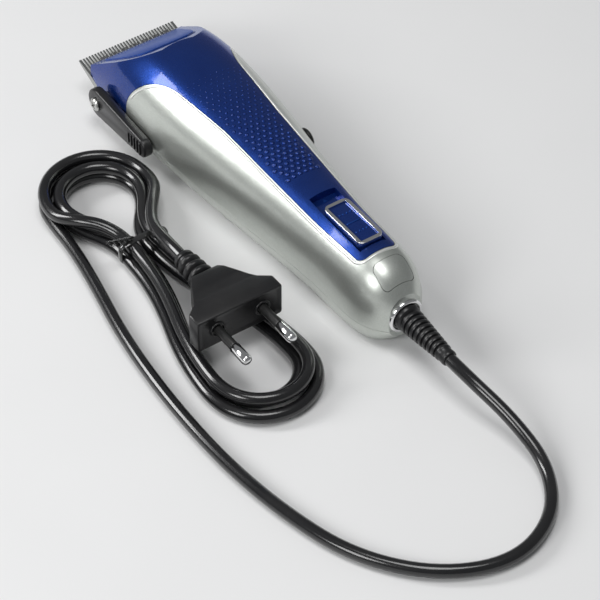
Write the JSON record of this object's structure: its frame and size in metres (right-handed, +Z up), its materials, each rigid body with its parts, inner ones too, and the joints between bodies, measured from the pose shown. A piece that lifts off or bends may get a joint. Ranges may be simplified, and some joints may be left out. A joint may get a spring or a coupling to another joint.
{
  "type": "hair clipper",
  "caption": "Mains hair clipper with a magnetic motor, a taper lever on the side of its head, a slide switch on top, and a tied cord with a two-pin plug.",
  "frame": {"origin": "on the flat underside of the lower shell, on the middle plane, at half the clipper's length", "axes": "+Z up from the underside, +Y towards the tail where the cord leaves, +X towards the taper lever"},
  "size_m": [0.1104, 0.2864, 0.0395],
  "materials": {
    "silver": "satin silver",
    "blue": "gloss metallic blue",
    "black": "gloss black",
    "steel": "ground steel",
    "dark_steel": "blackened steel",
    "zinc": "zinc plated",
    "lamination": "varnished laminations",
    "copper": "enamelled copper",
    "nylon": "natural nylon",
    "spring_steel": "spring steel",
    "inner_plastic": "black plastic",
    "chrome": "bright plated",
    "cord": "glossy black pvc",
    "sleeve": "black insulation",
    "rubber": "rubber",
    "wire": "wire insulation",
    "tie": "black tie"
  },
  "bodies": {
    "housing": {"lower_shell": "silver", "upper_shell": "silver", "top_cover": "blue", "tail_insert": "silver", "housing_screws": "zinc", "blade_screws": "zinc", "fixed_blade": "steel", "stator_core": "lamination", "core_screws": "zinc", "coil_bobbin": "nylon", "coil_winding": "copper", "armature_leaf": "spring_steel", "clamp_block": "inner_plastic", "clamp_plate": "steel", "clamp_screws": "zinc", "switch_body": "inner_plastic", "switch_terminals": "chrome", "strain_relief": "rubber", "cord_lead": "cord", "cord_hank": "cord", "hank_tie": "tie", "cord_end": "cord", "plug_body": "black", "pin_sleeves": "sleeve", "plug_pins": "chrome", "inner_wires": "wire"},
    "blade_carriage": {"blade_guide": "steel", "blade_spring": "spring_steel"},
    "cutter": {"moving_blade": "dark_steel", "blade_yoke": "nylon"},
    "lever": {"taper_lever": "black", "lever_cam": "inner_plastic", "lever_screw": "zinc"},
    "armature": {"armature_arm": "nylon", "armature_core": "lamination", "arm_rivets": "zinc"},
    "power_knob": {"power_screw": "black", "power_pad": "rubber"},
    "slider": {"switch_slider": "blue", "switch_ring": "chrome", "switch_actuator": "inner_plastic"}
  },
  "joints": [
    {"name": "taper_lever_hinge", "type": "hinge", "parent": "housing", "child": "lever", "pos_m": [0.026, -0.068, 0.012], "axis": [1, 0, 0], "range_deg": [0, 40]},
    {"name": "blade_taper_slide", "type": "slide", "parent": "housing", "child": "blade_carriage", "axis": [0, -0.9063, 0.4226], "range_m": [0, 0.002]},
    {"name": "armature_swing", "type": "hinge", "parent": "housing", "child": "armature", "pos_m": [-0.00725, 0.017, 0.018], "axis": [0, 0, 1], "range_deg": [-0.79, 0.79], "stiffness_Nm_per_rad": 5, "deforming": ["armature_leaf"]},
    {"name": "cutter_stroke", "type": "slide", "parent": "blade_carriage", "child": "cutter", "axis": [1, 0, 0], "range_m": [-0.0013, 0.0013]},
    {"name": "switch_slide", "type": "slide", "parent": "housing", "child": "slider", "axis": [0, -1, 0], "range_m": [0, 0.0045]},
    {"name": "power_screw_turn", "type": "hinge", "parent": "housing", "child": "power_knob", "pos_m": [-0.022, 0, 0.018], "axis": [-1, 0, 0], "range_deg": [-180, 180]}
  ],
  "couplings": [
    {"joint": "blade_taper_slide", "follows": "taper_lever_hinge", "m_per_rad": 0.0028415},
    {"joint": "cutter_stroke", "follows": "armature_swing", "m_per_rad": 0.094168}
  ]
}
